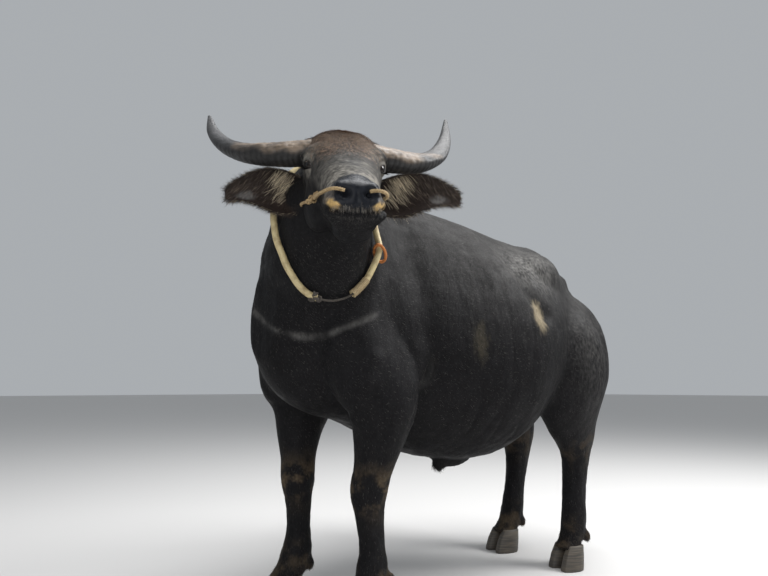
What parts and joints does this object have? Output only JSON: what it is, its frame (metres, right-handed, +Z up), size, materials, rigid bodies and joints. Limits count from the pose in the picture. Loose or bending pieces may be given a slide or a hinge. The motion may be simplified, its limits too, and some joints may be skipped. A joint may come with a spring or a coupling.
{
  "type": "water buffalo model",
  "caption": "Life-size standing swamp water buffalo bull with crescent horns, head turned to its left, hose collar and nose rope.",
  "frame": {"origin": "on the floor below the centre of the whole animal's box", "axes": "+Z up, the animal faces -Y with its body along Y, +X is its left side"},
  "size_m": [1.1514, 1.8798, 1.619],
  "materials": {
    "hide": "dark grey hide with short sparse hair",
    "hair": "coarse dark hair",
    "horn": "weathered ridged horn",
    "eye": "wet dark brown",
    "hoof": "worn dark hoof",
    "hose": "pale cream hose, soiled",
    "ring": "worn orange brown ring",
    "cord": "dark thin cord",
    "rope": "golden brown twisted rope"
  },
  "bodies": {
    "root": {"torso": "hide", "neck": "hide", "head": "hide", "foreleg_left": "hide", "foreleg_right": "hide", "hindleg_left": "hide", "hindleg_right": "hide", "ear_left": "hide", "ear_right": "hide", "tail": "hide", "tail_switch": "hair", "horn_left": "horn", "horn_right": "horn", "eye_left": "eye", "eye_right": "eye", "hoof_fore_left_outer": "hoof", "hoof_fore_left_inner": "hoof", "hoof_fore_right_outer": "hoof", "hoof_fore_right_inner": "hoof", "hoof_hind_left_outer": "hoof", "hoof_hind_left_inner": "hoof", "hoof_hind_right_outer": "hoof", "hoof_hind_right_inner": "hoof", "collar_left": "hose", "collar_right": "hose", "collar_tie": "cord", "collar_ring": "ring", "nose_rope_left": "rope", "nose_rope_right": "rope"}
  },
  "joints": []
}
